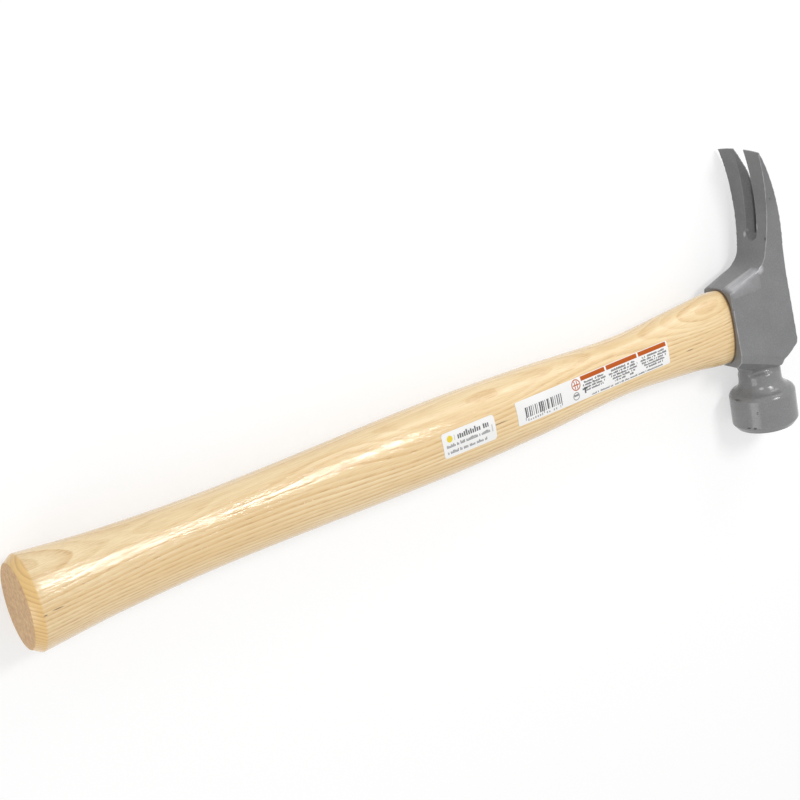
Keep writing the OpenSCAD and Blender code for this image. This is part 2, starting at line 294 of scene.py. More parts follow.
# A noise is written as its cells to the metre, its detail and its roughness. A tint is a
# colour and its strength. A bump is a depth in millimetres and a strength. A contrast is
# a pair of (noise value, grey) stops.

# ---------------------------------------------------------------- the ash and its lacquer

# The rings are tubes round the pith, which lies off the handle's axis. In millimetres:
# their pitch, how far away the pith is and how much they spread along the handle's length
RING_PITCH = 1.7
PITH_AWAY = 95
PITH_TURN = math.radians(-38)
RING_SPREAD = 0.010
# How far the rings wander slowly and waver finely, in millimetres
RING_WANDER = 9.0
RING_WAVER = 0.6
WANDER_NOISE = ((7, 28, 28), 2.0, 0.45)
WAVER_NOISE = ((19, 150, 150), 2.0, 0.5)
# Where the rings bulge: middle, half lengths and height, in millimetres
RING_SWELLS = (
    ((172.0, -1.0, 26.8), (24.0, 7.0, 7.0), 3.7),
    ((-212.0, 1.0, 31.0), (19.0, 7.0, 7.0), 2.0),
    ((36.0, -1.0, 30.4), (34.0, 4.5, 4.5), 1.2),
    ((-150.0, 2.0, 28.5), (18.0, 5.0, 5.0), 2.4),
    ((-60.0, 0.0, 29.0), (26.0, 5.0, 5.0), -2.2),
)

# Through one ring, from its open early wood to the dense late wood
PORE_CURVE = ((0.0, 0.45), (0.07, 0.85), (0.18, 0.75), (0.38, 0.28), (0.70, 0.05), (0.93, 0.0),
              (1.0, 0.45))
BAND_CURVE = ((0.0, 0.75), (0.08, 1.0), (0.45, 0.5), (0.80, 0.0), (0.92, 0.0), (1.0, 0.75))
# Rings differ in strength: the step in noise from ring to ring, and the contrast
RING_STEP_IN_NOISE = 7.3
RING_CONTRAST = ((0.30, 0.30), (0.66, 1.0))

CLOUD_NOISE = ((12, 110, 110), 3.0, 0.55)
CLOUD_CONTRAST = ((0.34, 0.0), (0.72, 1.0))
FIBRE_NOISE = ((60, 3000, 3000), 3.0, 0.6)
FIBRE_CONTRAST = ((0.44, 0.0), (0.66, 1.0))
DASH_NOISE = ((150, 1900, 1900), 2.0, 0.5)
DASH_CONTRAST = ((0.52, 0.0), (0.62, 1.0))
SPECKLE_NOISE = (420, 5.0, 0.7)
SPECKLE_CONTRAST = ((0.36, 0.0), (0.66, 1.0))

PALE_WOOD = (0.90, 0.72, 0.435)
WARM_WOOD = (0.80, 0.585, 0.30)
RING_BROWN = (0.60, 0.365, 0.145)
BAND = ((0.77, 0.51, 0.22), 0.70)
RING_LINE = (RING_BROWN, 0.46)
PORE = ((0.42, 0.21, 0.07), 0.62)
STREAK = (RING_BROWN, 0.34)
AMBER = (0.84, 0.53, 0.17)
AMBER_LINE = (0.50, 0.26, 0.08)
AMBER_LINES = 0.80
AMBER_STRENGTH = 0.78
END_PALE = (0.72, 0.50, 0.275)
END_DARK = (0.50, 0.30, 0.16)
END_LINES = 0.40
GLUE = ((0.24, 0.12, 0.05), 0.75)
FLECK = ((0.16, 0.085, 0.045), 0.85)

# In millimetres from the butt, each with its softness: the end of the bare face and the
# end of the amber chamfer. Then the glue that shows before the rim.
END_FACE = (0.25, 0.25)
CHAMFER = (4.9, 0.9)
GLUE_SHOWS = 0.7
GLUE_SOFT = 0.6

# Small dark marks in the wood: middle, then half lengths, in millimetres
WOOD_FLECKS = (
    ((27.0, -11.6, 33.2), (7.5, 0.34, 1.4)),
    ((-216.5, -13.4, 35.9), (3.6, 0.34, 1.6)),
    ((-223.0, -14.2, 36.3), (1.2, 0.40, 1.2)),
    ((155.7, -15.0, 29.2), (3.2, 0.34, 1.2)),
    ((-181.0, -24.5, 34.0), (3.2, 0.35, 1.6)),
    ((-140.0, -30.0, 6.0), (3.0, 0.4, 1.2)),
    ((60.0, -2.0, 6.0), (5.0, 0.4, 1.2)),
)

WOOD_ROUGHNESS = 0.42
DRY_ROUGHNESS = 0.3
GLUE_DRYNESS = 0.5
FIBRE_HEIGHT = 0.5
WOOD_BUMP = (0.04, 0.5)

# The lacquer lies in slow waves with brush marks and sinks into the pores
WAVE_NOISE = ((70, 620, 620), 2.0, 0.5)
BRUSH_NOISE = ((150, 1500, 1500), 2.0, 0.6)
WAVE_HEIGHT = 5.5
BRUSH_HEIGHT = 2.5
DASH_HEIGHT = -2.4
PORE_HEIGHT = -1.1
LACQUER_BUMP = (0.06, 0.55)
LACQUER_ROUGHNESS = 0.05
LACQUER_IOR = 1.5
LACQUER_LOST_ON_END = 0.9


def growth_rings(paint):
    """How far each point is through its growth ring, from 0 to 1, and the ring's number."""
    shift = (0, -AXIS_Y, -AXIS_Z)
    along, across, up = paint.millimetres(shift, (PITH_TURN, 0, 0))
    radius = paint.length(paint.math("ADD", across, PITH_AWAY), up)
    radius = paint.plus_times(radius, paint.noise(*WANDER_NOISE, shift), RING_WANDER)
    radius = paint.plus_times(radius, paint.noise(*WAVER_NOISE, shift), RING_WAVER)
    radius = paint.plus_times(radius, along, RING_SPREAD)
    for middle, half, height in RING_SWELLS:
        reach = paint.reach(middle, half)
        bulge = paint.math("EXPONENT", paint.times(paint.times(reach, reach), -1))
        radius = paint.plus_times(radius, bulge, height)
    count = paint.math("DIVIDE", radius, RING_PITCH)
    return paint.math("FRACT", count), paint.math("FLOOR", count)


def lacquered_ash():
    """Pale ring-porous wood under clear lacquer. The butt's chamfer is amber and its end
    is bare, because end grain drinks the lacquer."""
    paint = Paint("lacquered_ash")
    ring, number = growth_rings(paint)
    strong = paint.noise_at(paint.times(number, RING_STEP_IN_NOISE), detail=0.0)
    strong = paint.ramp(strong, *RING_CONTRAST)
    pores = paint.times(paint.ramp(ring, *PORE_CURVE), strong)
    band = paint.times(paint.ramp(ring, *BAND_CURVE), strong)
    dashes = paint.times(paint.ramp(paint.noise(*DASH_NOISE), *DASH_CONTRAST), pores)
    fibre = paint.noise(*FIBRE_NOISE)
    cloud = paint.ramp(paint.noise(*CLOUD_NOISE), *CLOUD_CONTRAST)
    paint.colour = paint.mix(cloud, PALE_WOOD, WARM_WOOD)
    paint.tint(band, *BAND)
    paint.tint(pores, *RING_LINE)
    paint.tint(dashes, *PORE)
    paint.tint(paint.ramp(fibre, *FIBRE_CONTRAST), *STREAK)

    along = paint.millimetres((-BUTT, 0, 0))[0]
    amber = paint.mix(paint.times(pores, AMBER_LINES), AMBER, AMBER_LINE)
    paint.tint(paint.before(along, *CHAMFER), amber, AMBER_STRENGTH)
    end = paint.before(along, *END_FACE)
    speckle = paint.ramp(paint.noise(*SPECKLE_NOISE), *SPECKLE_CONTRAST)
    bare = paint.mix(speckle, END_PALE, END_DARK)
    bare = paint.mix(paint.times(pores, END_LINES), bare, END_DARK)
    paint.tint(end, bare)
    glue = paint.after(along, (RIM - BUTT) / MM - GLUE_SHOWS, GLUE_SOFT)
    paint.tint(glue, *GLUE)
    marks = paint.flecks(WOOD_FLECKS)
    paint.tint(marks, *FLECK)

    dry = paint.math("MAXIMUM", end, paint.times(glue, GLUE_DRYNESS))
    roughness = paint.math("MULTIPLY_ADD", dry, DRY_ROUGHNESS, WOOD_ROUGHNESS)
    height = paint.plus_times(paint.times(pores, -1), fibre, FIBRE_HEIGHT)
    height = paint.math("SUBTRACT", height, marks)
    lacquer(paint, end, dashes, pores)
    return paint.finish(roughness, paint.bump(height, *WOOD_BUMP), Specular_IOR_Level=0.3,
                        Coat_Roughness=LACQUER_ROUGHNESS, Coat_IOR=LACQUER_IOR)


def lacquer(paint, end, dashes, pores):
    """Clear lacquer over all but the bare end."""
    film = paint.times(paint.noise(*BRUSH_NOISE), BRUSH_HEIGHT)
    film = paint.plus_times(film, paint.noise(*WAVE_NOISE), WAVE_HEIGHT)
    film = paint.plus_times(film, dashes, DASH_HEIGHT)
    film = paint.plus_times(film, pores, PORE_HEIGHT)
    paint.put(paint.bump(film, *LACQUER_BUMP), paint.shader.inputs["Coat Normal"])
    weight = paint.math("MULTIPLY_ADD", end, -LACQUER_LOST_ON_END, 1)
    paint.put(weight, paint.shader.inputs["Coat Weight"])


# ---------------------------------------------------------------- the enamel

ENAMEL = (0.218, 0.219, 0.223)
ENAMEL_SPREAD = 0.08
ENAMEL_CLOUD = (55, 4.0, 0.6)
CLOUD_SPAN = ((0.3, 0.0), (0.7, 1.0))
GRIT_NOISE = (1200, 3.0, 0.7)
GRIT_DARK = ((0.42, 0.0), (0.72, 0.22))
GRIT_LIGHT = ((0.28, 0.09), (0.48, 0.0))
GRIT_DARK_GREY = (0.12, 0.12, 0.12)
GRIT_LIGHT_GREY = (0.50, 0.50, 0.51)
# Painted shade: the share of the grey that is kept, from the poll's face, 0, to the claw tips,
# 1, so that the grey darkens towards the claws
CLAW_SHADE = ((0.10, 1.0), (0.30, 0.90), (0.62, 0.88), (0.85, 0.73))
BLACK = (0.0, 0.0, 0.0)

# The shoulder's strip that a painted highlight lightens, in millimetres: from, to and softness,
# first past the rim, then up from the poll's face, then out from the middle
STRIP_ALONG = (1.5, 21.0, 2.5)
STRIP_UP = (80, 100, 1.0)
STRIP_OUT = (4.6, 11.0, 1.2)
HIGHLIGHT_STREAK_NOISE = ((90, 90, 1100), 2.0, 0.5)
HIGHLIGHT_STREAK_CONTRAST = ((0.30, 0.45), (0.62, 1.0))
HIGHLIGHT_GREY = (0.62, 0.62, 0.64)
STRIP_HIGHLIGHT = (HIGHLIGHT_GREY, 0.58)
# Spots lightened by painted glints: middle, then half lengths, in millimetres
ENAMEL_GLINT_SPOTS = (
    ((217.2, 29.2, 13.0), (1.4, 2.0, 1.2)),
    ((217.6, 31.6, 15.6), (1.4, 2.0, 1.6)),
    ((217.8, 34.2, 22.6), (1.4, 2.4, 1.0)),
    ((210.3, 13.0, 29.5), (3.4, 3.0, 0.7)),
    ((190.5, 6.6, 29.3), (2.0, 1.2, 0.8)),
    ((202.0, -52.6, 27.4), (1.6, 0.9, 1.6)),
    ((206.4, -53.4, 30.5), (1.6, 0.8, 1.4)),
)
GLINT_SPOT_SOFTNESS = 0.6
# How sharp an arris has to be to take a painted highlight, and how unevenly it does
ARRIS_SHARPNESS = ((0.06, 0.0), (0.18, 1.0))
ARRIS_NOISE = (160, 2.0, 0.5)
ARRIS_CONTRAST = ((0.35, 0.35), (0.62, 1.0))
ARRIS_HIGHLIGHT = (HIGHLIGHT_GREY, 0.5)

# Chips and specks in the enamel: middle, then half lengths, in millimetres
ENAMEL_CHIPS = (
    ((192.4, -73.2, 24.0), (1.0, 0.6, 1.6)),
    ((194.0, -73.4, 27.3), (1.0, 0.7, 1.6)),
    ((190.8, -73.1, 20.5), (0.8, 0.4, 1.0)),
    ((195.4, -64.5, 29.3), (0.8, 0.9, 0.9)),
    ((192.1, -57.6, 18.0), (1.6, 0.6, 3.6)),
    ((216.9, 28.2, 29.2), (0.7, 1.8, 0.7)),
    ((216.9, 28.2, 6.9), (0.7, 1.7, 0.7)),
    ((221.4, 49.4, 31.6), (0.6, 1.0, 0.6)),
    ((222.0, 72.0, 30.5), (0.5, 0.9, 0.5)),
    ((190.0, -33.0, 30.0), (0.6, 0.5, 0.7)),
    ((228.4, -26.0, 12.0), (0.5, 0.9, 0.8)),
)
CHIP_NOISE = (1500, 2.0, 0.5)
CHIP_CONTRAST = ((0.40, 0.0), (0.50, 1.0))
CHIP_GREY = (0.035, 0.033, 0.032)

ENAMEL_ROUGHNESS = 0.11
CLOUD_ROUGHNESS = 0.10
CHIP_ROUGHNESS = 0.3
PEEL_NOISE = (850, 2.0, 0.5)
PEEL_HEIGHT = 0.9
FORGE_NOISE = (140, 2.0, 0.5)
FORGE_HEIGHT = 2.0
# Turning marks round the poll, in millimetres from its face: from, to and softness
TURNED = (3.2, 18.5, 1.0)
TURNED_PITCH = 1.1
TURNED_HEIGHT = 0.22
ENAMEL_BUMP = (0.06, 0.6)


def grey_enamel():
    """Grey enamel, sprayed over a forging: satin, a little uneven, with a few chips. Painted
    shade darkens it towards the claws, and painted highlights lighten the shoulder's strip, some
    spots and the sharp arrises.
    """
    paint = Paint("grey_enamel")
    along, up, out = paint.millimetres((-RIM, -HEAD_LOW.y, -HEAD_MIDDLE))
    cloud = paint.noise(*ENAMEL_CLOUD)
    paint.colour = paint.mix(paint.ramp(cloud, *CLOUD_SPAN),
                             tuple((1 - ENAMEL_SPREAD) * c for c in ENAMEL),
                             tuple((1 + ENAMEL_SPREAD) * c for c in ENAMEL))
    grit = paint.noise(*GRIT_NOISE)
    paint.tint(paint.ramp(grit, *GRIT_DARK), GRIT_DARK_GREY)
    paint.tint(paint.ramp(grit, *GRIT_LIGHT), GRIT_LIGHT_GREY)
    # Painted shade: the grey darkens towards the claw tips.
    share = paint.math("DIVIDE", up, (HEAD_HIGH.y - HEAD_LOW.y) / MM)
    paint.colour = paint.mix(paint.ramp(share, *CLAW_SHADE), BLACK, paint.colour)
    # Painted highlight: the shoulder's strip and a few spots are lightened.
    paint.tint(highlight_strip(paint, along, up, out), *STRIP_HIGHLIGHT)
    # Painted highlight: sharp arrises are lightened, unevenly.
    arris = paint.ramp(paint.attribute("arris"), *ARRIS_SHARPNESS)
    uneven = paint.ramp(paint.noise(*ARRIS_NOISE), *ARRIS_CONTRAST)
    paint.tint(paint.times(arris, uneven), *ARRIS_HIGHLIGHT)
    ragged = paint.ramp(paint.noise(*CHIP_NOISE), *CHIP_CONTRAST)
    chips = paint.times(paint.flecks(ENAMEL_CHIPS), ragged)
    paint.tint(chips, CHIP_GREY)

    roughness = paint.math("MULTIPLY_ADD", cloud, CLOUD_ROUGHNESS, ENAMEL_ROUGHNESS)
    roughness = paint.plus_times(roughness, chips, CHIP_ROUGHNESS)
    turned = paint.math("SINE", paint.times(up, 2 * math.pi / TURNED_PITCH))
    turned = paint.times(turned, paint.between(up, *TURNED))
    height = paint.times(paint.noise(*PEEL_NOISE), PEEL_HEIGHT)
    height = paint.plus_times(height, paint.noise(*FORGE_NOISE), FORGE_HEIGHT)
    height = paint.plus_times(height, turned, TURNED_HEIGHT)
    height = paint.math("SUBTRACT", height, chips)
    return paint.finish(roughness, paint.bump(height, *ENAMEL_BUMP), Specular_IOR_Level=0.5)


def highlight_strip(paint, along, up, out):
    """1 on the shoulder's streaked strip and on the spots, where painted highlights lighten the
    grey.
    """
    strip = paint.times(paint.between(along, *STRIP_ALONG), paint.between(out, *STRIP_OUT))
    strip = paint.times(strip, paint.between(up, *STRIP_UP))
    strip = paint.times(strip, paint.ramp(paint.noise(*HIGHLIGHT_STREAK_NOISE), *HIGHLIGHT_STREAK_CONTRAST))
    return paint.math("MAXIMUM", strip, paint.flecks(ENAMEL_GLINT_SPOTS, GLINT_SPOT_SOFTNESS))


# ---------------------------------------------------------------- the wedges' finishes

BRIGHT_STEEL = (0.42, 0.41, 0.40)
RUST = (0.20, 0.09, 0.04)
RUST_NOISE = (700, 5.0, 0.7)
RUST_CONTRAST = ((0.52, 0.0), (0.68, 1.0))
RUST_DULLS = 0.8
STEEL_ROUGHNESS = 0.38
RUST_ROUGHNESS = 0.35
STEEL_BUMP = (0.08, 0.6)
SAWN_NOISE = ((90, 1400, 1400), 4.0, 0.6)
SAWN_CONTRAST = ((0.3, 0.0), (0.7, 1.0))
SAWN_PALE = (0.50, 0.31, 0.15)
SAWN_DARK = (0.30, 0.16, 0.07)
SAWN_ROUGHNESS = 0.62
SAWN_BUMP = (0.1, 0.7)


def wedge_steel():
    """Mild steel that has been struck and has a little rust."""
    paint = Paint("wedge_steel")
    spots = paint.noise(*RUST_NOISE)
    rust = paint.ramp(spots, *RUST_CONTRAST)
    paint.colour = paint.mix(rust, BRIGHT_STEEL, RUST)
    metal = paint.math("MULTIPLY_ADD", rust, -RUST_DULLS, 1)
    paint.put(metal, paint.shader.inputs["Metallic"])
    roughness = paint.math("MULTIPLY_ADD", rust, RUST_ROUGHNESS, STEEL_ROUGHNESS)
    return paint.finish(roughness, paint.bump(spots, *STEEL_BUMP))


def wedge_wood():
    """Plain hardwood sawn off at the top of the head."""
    paint = Paint("wedge_wood")
    grain = paint.noise(*SAWN_NOISE)
    paint.colour = paint.mix(paint.ramp(grain, *SAWN_CONTRAST), SAWN_PALE, SAWN_DARK)
    return paint.finish(SAWN_ROUGHNESS, paint.bump(grain, *SAWN_BUMP))


# ---------------------------------------------------------------- the labels' print

FILM_WHITE = (0.88, 0.875, 0.87)
FILM_SOILED = (0.83, 0.825, 0.81)
SOIL_NOISE = (90, 3.0, 0.5)
SOIL_CONTRAST = ((0.35, 0.0), (0.75, 1.0))
FILM_NOISE = (160, 1.0, 0.5)
FILM_ROUGHNESS = 0.34
FILM_BUMP = (0.05, 0.5)
INK_EDGE = 0.12
# Small print: how many of its blocks are left out, and how tall the others are, from the
# lowest to all of the row's height
PRINT_GAPS = 0.17
PRINT_LOWEST = 0.55
PRINT_SEED_STEP = 0.37
PRINT_PITCH = 0.62
PRINT_FILL = 0.80
# Bars: the narrowest one and how much wider one can be, as shares of their pitch
BAR_NARROW = 0.18
BAR_WIDER = 0.60
BAR_SEED = 3.3


class Print(Paint):
    """White film with marks on it. Sizes are in millimetres from its lower butt-side
    corner."""

    def __init__(self, name, length, height):
        super().__init__(name)
        self.x, self.y, _ = self.split(self.place((length, height, 1), uv=True))
        soil = self.ramp(self.noise(*SOIL_NOISE), *SOIL_CONTRAST)
        self.colour = self.mix(soil, FILM_WHITE, FILM_SOILED)

    def block(self, left, right, low, high):
        """A filled rectangle."""
        return self.times(self.between(self.x, left, right, INK_EDGE),
                          self.between(self.y, low, high, INK_EDGE))

    def chance(self, value, seed):
        """A number from 0 to 1 for each whole value."""
        node = self.nodes.new("ShaderNodeTexWhiteNoise")
        node.noise_dimensions = "1D"
        self.put(self.math("ADD", value, seed), node.inputs["W"])
        return node.outputs["Value"]

    def row(self, left, right, low, high, seed, pitch=PRINT_PITCH, fill=PRINT_FILL):
        """A line of make-believe small print: upright blocks of uneven height, with gaps."""
        place = self.math("DIVIDE", self.x, pitch)
        cell = self.math("FLOOR", place)
        dash = self.math("LESS_THAN", self.math("FRACT", place), fill)
        kept = self.math("GREATER_THAN", self.chance(cell, seed), PRINT_GAPS)
        tall = high - low
        top = self.math("MULTIPLY_ADD", self.chance(cell, seed + PRINT_SEED_STEP),
                        (1 - PRINT_LOWEST) * tall, low + PRINT_LOWEST * tall)
        dash = self.times(self.times(dash, kept), self.math("LESS_THAN", self.y, top))
        return self.times(dash, self.block(left, right, low, high))

    def bars(self, left, right, low, high, pitch):
        """Upright bars of uneven width that stand for nothing."""
        place = self.math("DIVIDE", self.x, pitch)
        width = self.math("MULTIPLY_ADD", self.chance(self.math("FLOOR", place), BAR_SEED),
                          BAR_WIDER, BAR_NARROW)
        on = self.math("LESS_THAN", self.math("FRACT", place), width)
        return self.times(on, self.block(left, right, low, high))

    def ring(self, x, y, radius, width):
        """A ring, whose width is measured inwards, or a disc if that is over the radius."""
        away = self.length(self.math("SUBTRACT", self.x, x), self.math("SUBTRACT", self.y, y))
        return self.between(away, radius - width, radius, INK_EDGE)

    def film(self):
        """The material of satin film, with the marks that were made on it."""
        ripple = self.bump(self.noise(*FILM_NOISE), *FILM_BUMP)
        return self.finish(FILM_ROUGHNESS, ripple, Specular_IOR_Level=0.25)


LONG_LABEL = (102.0, 12.4)
SMALL_LABEL = (32.0, 12.8)
INK_GREY = (0.05, 0.05, 0.055)
INK_ORANGE = (0.47, 0.090, 0.004)
INK_YELLOW = (0.80, 0.62, 0.06)

# The three orange blocks of the long label: left, right and the rows of print below
ORANGE_BLOCKS = ((42.6, 58.9, 4), (60.0, 80.9, 5), (82.0, 101.0, 5))
ORANGE_LOW = 9.9
ORANGE_HIGH = 12.1
ROW_LENGTHS = (0.80, 0.94, 0.88, 0.74, 0.62)
FIRST_ROW = 8.2
ROW_PITCH = 1.42
ROW_HEIGHT = 1.15
ROW_SEED_STEP = 0.613
ROW_STRENGTH = 0.95


def orange_blocks(label):
    """The orange blocks, each with centred rows of small print below it."""
    for left, right, rows in ORANGE_BLOCKS:
        label.tint(label.block(left, right, ORANGE_LOW, ORANGE_HIGH), INK_ORANGE)
        middle = (left + right) / 2
        for k in range(rows):
            half = ROW_LENGTHS[k] * (right - left) / 2
            low = FIRST_ROW - ROW_PITCH * k
            row = label.row(middle - half, middle + half, low, low + ROW_HEIGHT,
                            left + ROW_SEED_STEP * k)
            label.tint(row, INK_GREY, ROW_STRENGTH)


def long_print():
    """The orange blocks, rows of small print, upright bars, two rings and a T-shaped blot."""
    label = Print("long_label_print", *LONG_LABEL)
    orange_blocks(label)
    label.tint(label.row(48, 97, 0.6, 1.6, 3.3), INK_GREY, 0.85)
    label.tint(label.bars(4.6, 29.2, 2.9, 8.3, 1.27), INK_GREY, 0.92)
    for edge in (4.6, 16.4, 28.1):
        label.tint(label.block(edge, edge + 0.45, 1.7, 3.1), INK_GREY, 0.80)
    label.tint(label.row(6.0, 15.6, 1.0, 2.4, 8.1, 1.5, 0.55), INK_GREY, 0.60)
    label.tint(label.row(18.0, 27.4, 1.0, 2.4, 5.2, 1.5, 0.55), INK_GREY, 0.60)
    label.tint(label.ring(38.9, 9.0, 2.9, 0.55), INK_ORANGE)
    label.tint(label.block(36.8, 41.0, 8.7, 9.25), INK_ORANGE)
    for bar in (37.9, 39.4):
        label.tint(label.block(bar, bar + 0.5, 7.0, 11.0), INK_ORANGE)
    label.tint(label.ring(38.0, 3.3, 2.1, 0.4), INK_GREY, 0.8)
    label.tint(label.block(36.5, 39.5, 3.2, 4.3), INK_GREY, 0.75)
    label.tint(label.block(42.4, 45.8, 5.0, 5.9), INK_GREY, 0.9)
    label.tint(label.block(43.6, 44.6, 3.0, 5.1), INK_GREY, 0.9)
    return label.film()


def small_print():
    """A yellow spot and three rows of make-believe print, the top one the largest."""
    label = Print("small_label_print", *SMALL_LABEL)
    label.tint(label.ring(4.4, 9.3, 1.7, 1.9), INK_YELLOW)
    label.tint(label.row(7.2, 28.0, 7.9, 11.2, 1.7, 1.30, 0.66), INK_GREY, 0.92)
    label.tint(label.row(1.8, 28.3, 4.9, 6.7, 4.17, 0.72), INK_GREY, 0.72)
    label.tint(label.row(1.9, 26.0, 1.7, 3.4, 6.93, 0.72), INK_GREY, 0.72)
    label.tint(label.block(29.5, 30.2, 4.6, 8.2), INK_GREY, 0.35)
    return label.film()


# ---------------------------------------------------------------- the handle

# Along the handle: place from the butt, height, width and squareness of the oval, where 2
# is an ellipse. Millimetres.
STATIONS = (
    (0.0, 41.6, 30.4, 2.0),
    (4.6, 47.6, 36.4, 2.0),
    (45.0, 40.2, 31.4, 2.1),
    (105.0, 36.2, 28.2, 2.2),
    (225.3, 39.5, 30.6, 2.2),
    (285.5, 36.9, 28.6, 2.2),
    (345.6, 31.4, 24.4, 2.2),
    (389.6, 37.2, 21.8, 2.3),
    (416.6, 41.2, 19.6, 2.4),
    (426.6, 32.05, 17.65, 2.4),
    (436.6, 29.0, 17.0, 2.4),
    (456.4, 31.0, 18.4, 2.4),
)
CHAMFER_STATION = STATIONS[1][0]
RIM_STATION = STATIONS[8][0]
# How far the oval's middle drops at the rim, and within what length, in millimetres
THROAT_LENGTH = 27.0
MOUTH_DROP = 1.2
OVAL_STEP = 4.0
OVAL_SIDES = 96
ARRIS_ROUND = 0.45
ARRIS_SEGMENTS = 3
ARRIS_ANGLE = math.radians(24)
HANDLE_CREASE = math.radians(35)


def station(place, column):
    """A smooth curve through one column of STATIONS, at a place along the handle. The
    chamfer at the butt is straight."""
    chamfer = place < CHAMFER_STATION
    rows = STATIONS[:2] if chamfer else STATIONS[1:]
    last = len(rows) - 2
    k = min(last, sum(row[0] <= place for row in rows[1:]))
    here, there = rows[k], rows[k + 1]
    length = there[0] - here[0]
    s = (place - here[0]) / length

    def slope(i):
        a, b = rows[max(i - 1, 0)], rows[min(i + 1, len(rows) - 1)]
        return (b[column] - a[column]) / (b[0] - a[0]) * length

    if chamfer:
        return here[column] + (there[column] - here[column]) * s
    return (here[column] * (2 * s**3 - 3 * s**2 + 1) + slope(k) * (s**3 - 2 * s**2 + s)
            + there[column] * (3 * s**2 - 2 * s**3) + slope(k + 1) * (s**3 - s**2))


def oval_middle(place):
    """The Y of the oval's middle, which lies a little below the handle's axis at the rim."""
    share = max(0, 1 - abs(place - RIM_STATION) / THROAT_LENGTH)
    return AXIS_Y - MOUTH_DROP * share**2 * MM


def oval_radius(place, angle):
    """From the oval's middle to its edge, at an angle from Z towards the claws."""
    height, width, square = (station(place, c) for c in (1, 2, 3))
    across = abs(math.cos(angle) / (width / 2)) ** square
    up = abs(math.sin(angle) / (height / 2)) ** square
    return (across + up) ** (-1 / square)


def shape_ring(piece, place, middle_now):
    """Moves the selected ring of points onto the oval at a place along the handle. The
    ring's middle is now at the Y given."""
    mesh = bmesh.from_edit_mesh(piece.data)
    middle = oval_middle(place)
    for vertex in mesh.verts:
        if not vertex.select:
            continue
        angle = math.atan2(vertex.co.y - middle_now, vertex.co.z - AXIS_Z)
        radius = oval_radius(place, angle) * MM
        vertex.co.x = BUTT + place * MM
        vertex.co.y = middle + radius * math.sin(angle)
        vertex.co.z = AXIS_Z + radius * math.cos(angle)
    bmesh.update_edit_mesh(piece.data)


def places_along():
    """The places of the ovals: each arris of the butt, then even steps to the top."""
    body = (TOP - BUTT) / MM - CHAMFER_STATION
    count = round(body / OVAL_STEP)
    return [0.0] + [CHAMFER_STATION + body * k / count for k in range(count + 1)]


def make_handle():
    """A ring at the butt, drawn out ring by ring to the top of the head."""
    bpy.ops.mesh.primitive_circle_add(vertices=OVAL_SIDES, radius=STATIONS[0][1] / 2 * MM,
                                      fill_type="NGON", location=(BUTT, AXIS_Y, AXIS_Z),
                                      rotation=(0, math.pi / 2, 0))
    handle = named("ash_handle")
    settle(handle)
    edit(handle)
    bpy.ops.mesh.select_all(action="SELECT")
    places = places_along()
    shape_ring(handle, places[0], AXIS_Y)
    for before, place in zip(places, places[1:]):
        bpy.ops.mesh.extrude_region_move(
            TRANSFORM_OT_translate={"value": (OVAL_STEP * MM, 0, 0)})
        shape_ring(handle, place, oval_middle(before))
    bpy.ops.mesh.select_all(action="SELECT")
    bpy.ops.mesh.normals_make_consistent(inside=False)
    done()
    modifier(handle, "BEVEL", width=ARRIS_ROUND * MM, segments=ARRIS_SEGMENTS,
             limit_method="ANGLE", angle_limit=ARRIS_ANGLE)
    for node, across in (("wood_wedge", "z"), ("steel_wedge_upper", "y"),
                         ("steel_wedge_lower", "y")):
        combine(handle, make_kerf(node, across), "DIFFERENCE")
    only(handle)
    bpy.ops.object.shade_smooth_by_angle(angle=HANDLE_CREASE)
    handle.data.materials.append(lacquered_ash())
    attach(handle, "root")
    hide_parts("handle")
    return handle


# The kerfs, in millimetres: their clearance round a wedge, how far they run past the top
# and how far the wood wedge's one reaches across the eye
KERF_GAP = 0.05
KERF_OVER = 4
KERF_SPAN = 60
NEAR_TIP = 0.1


def make_kerf(node, across):
    """A tapered block that cuts the kerf of one wedge, whose thickness lies across."""
    low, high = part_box(node)
    middle = (low + high) / 2
    length = high.x - low.x
    over = KERF_OVER * MM
    gap = KERF_GAP * MM
    bpy.ops.mesh.primitive_cube_add(size=1, location=middle)
    kerf = named(node + "_kerf")
    size = Vector((length + 2 * gap, high.y - low.y + 2 * gap, high.z - low.z + 2 * gap))
    if across == "z":
        size.y = KERF_SPAN * MM
    kerf.scale = size
    settle(kerf)
    thick = getattr(high - low, across)
    tip = thin_end(node, across)
    centre = getattr(middle, across)
    edit(kerf)
    mesh = bmesh.from_edit_mesh(kerf.data)
    for vertex in mesh.verts:
        side = math.copysign(1, getattr(vertex.co, across) - centre)
        if vertex.co.x < middle.x:
            half = tip / 2 + gap
        else:
            half = thick / 2 + gap + (thick - tip) / 2 * over / length
            vertex.co.x = high.x + over
        setattr(vertex.co, across, centre + side * half)
    bmesh.update_edit_mesh(kerf.data)
    done()
    return kerf


def thin_end(node, across):
    """The thickness of a wedge at its tip."""
    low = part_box(node)[0].x
    tip = [getattr(v.co, across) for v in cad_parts[node].data.vertices
           if v.co.x < low + NEAR_TIP * MM]
    return max(tip) - min(tip)


# ---------------------------------------------------------------- the head

# The remesh's grain in millimetres, the share of its triangles kept, and the passes that
# soften every edge, the shoulder and the neck
HEAD_GRAIN = 0.4
HEAD_KEPT = 0.62
DOUBLES = 0.001
SOFT_EDGE_PASSES = 2
SHOULDER_PASSES = 160
NECK_PASSES = 50
SMOOTHING = 0.5

# The cove between the neck and the bevels of the cheeks, measured up from the poll's face
COVE_AXIS = 210.0
COVE_LOW = 31.2
COVE_HIGH = 38.8
COVE_WIDE = 11.6
COVE_NARROW = 5.0
COVE_SIDES = 64

# The scoop at the root of the claw's slot
ROOT_SCOOP = (209.5, 33.5)
ROOT_SCOOP_RADIUS = 10.5
ROOT_SCOOP_WIDTH = 0.6
ROOT_SCOOP_SIDES = 48

